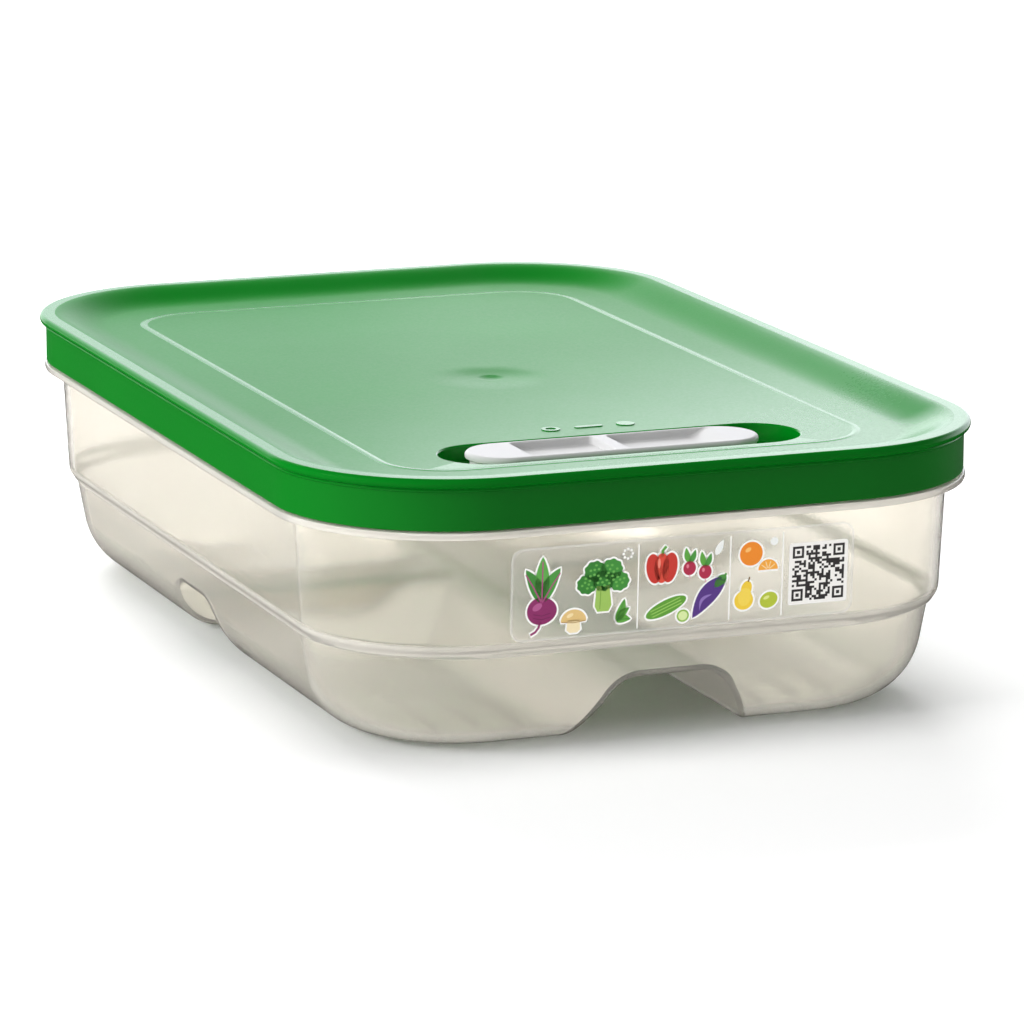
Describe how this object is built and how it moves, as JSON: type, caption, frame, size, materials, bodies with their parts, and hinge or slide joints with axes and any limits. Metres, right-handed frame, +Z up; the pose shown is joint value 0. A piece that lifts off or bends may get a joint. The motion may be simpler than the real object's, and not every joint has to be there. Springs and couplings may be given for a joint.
{
  "type": "vented produce keeper",
  "caption": "Low rectangular fridge keeper for vegetables: frosted container on channelled feet, flexible press-fit lid, sliding air vent and a chart label on the front.",
  "frame": {"origin": "on the table under the middle of the closed keeper, at the lowest point of its four feet", "axes": "+Z up out of the lid, +Y along the length from the end with the vent and the label to the plain end, +X along the width"},
  "size_m": [0.176, 0.268, 0.069],
  "materials": {
    "container_plastic": "frosted translucent moulding",
    "lid_plastic": "satin moulding",
    "slider_plastic": "smooth moulding",
    "label_film": "printed clear film"
  },
  "bodies": {
    "container": {"container": "container_plastic", "chart_label": "label_film"},
    "lid": {"lid": "lid_plastic"},
    "vent_slider": {"vent_slider": "slider_plastic"}
  },
  "joints": [
    {"name": "lid_lift", "type": "slide", "parent": "container", "child": "lid", "axis": [0, 0, 1], "range_m": [0, 0.06]},
    {"name": "vent_slide", "type": "slide", "parent": "lid", "child": "vent_slider", "axis": [1, 0, 0], "range_m": [-0.0064, 0.0104]}
  ]
}
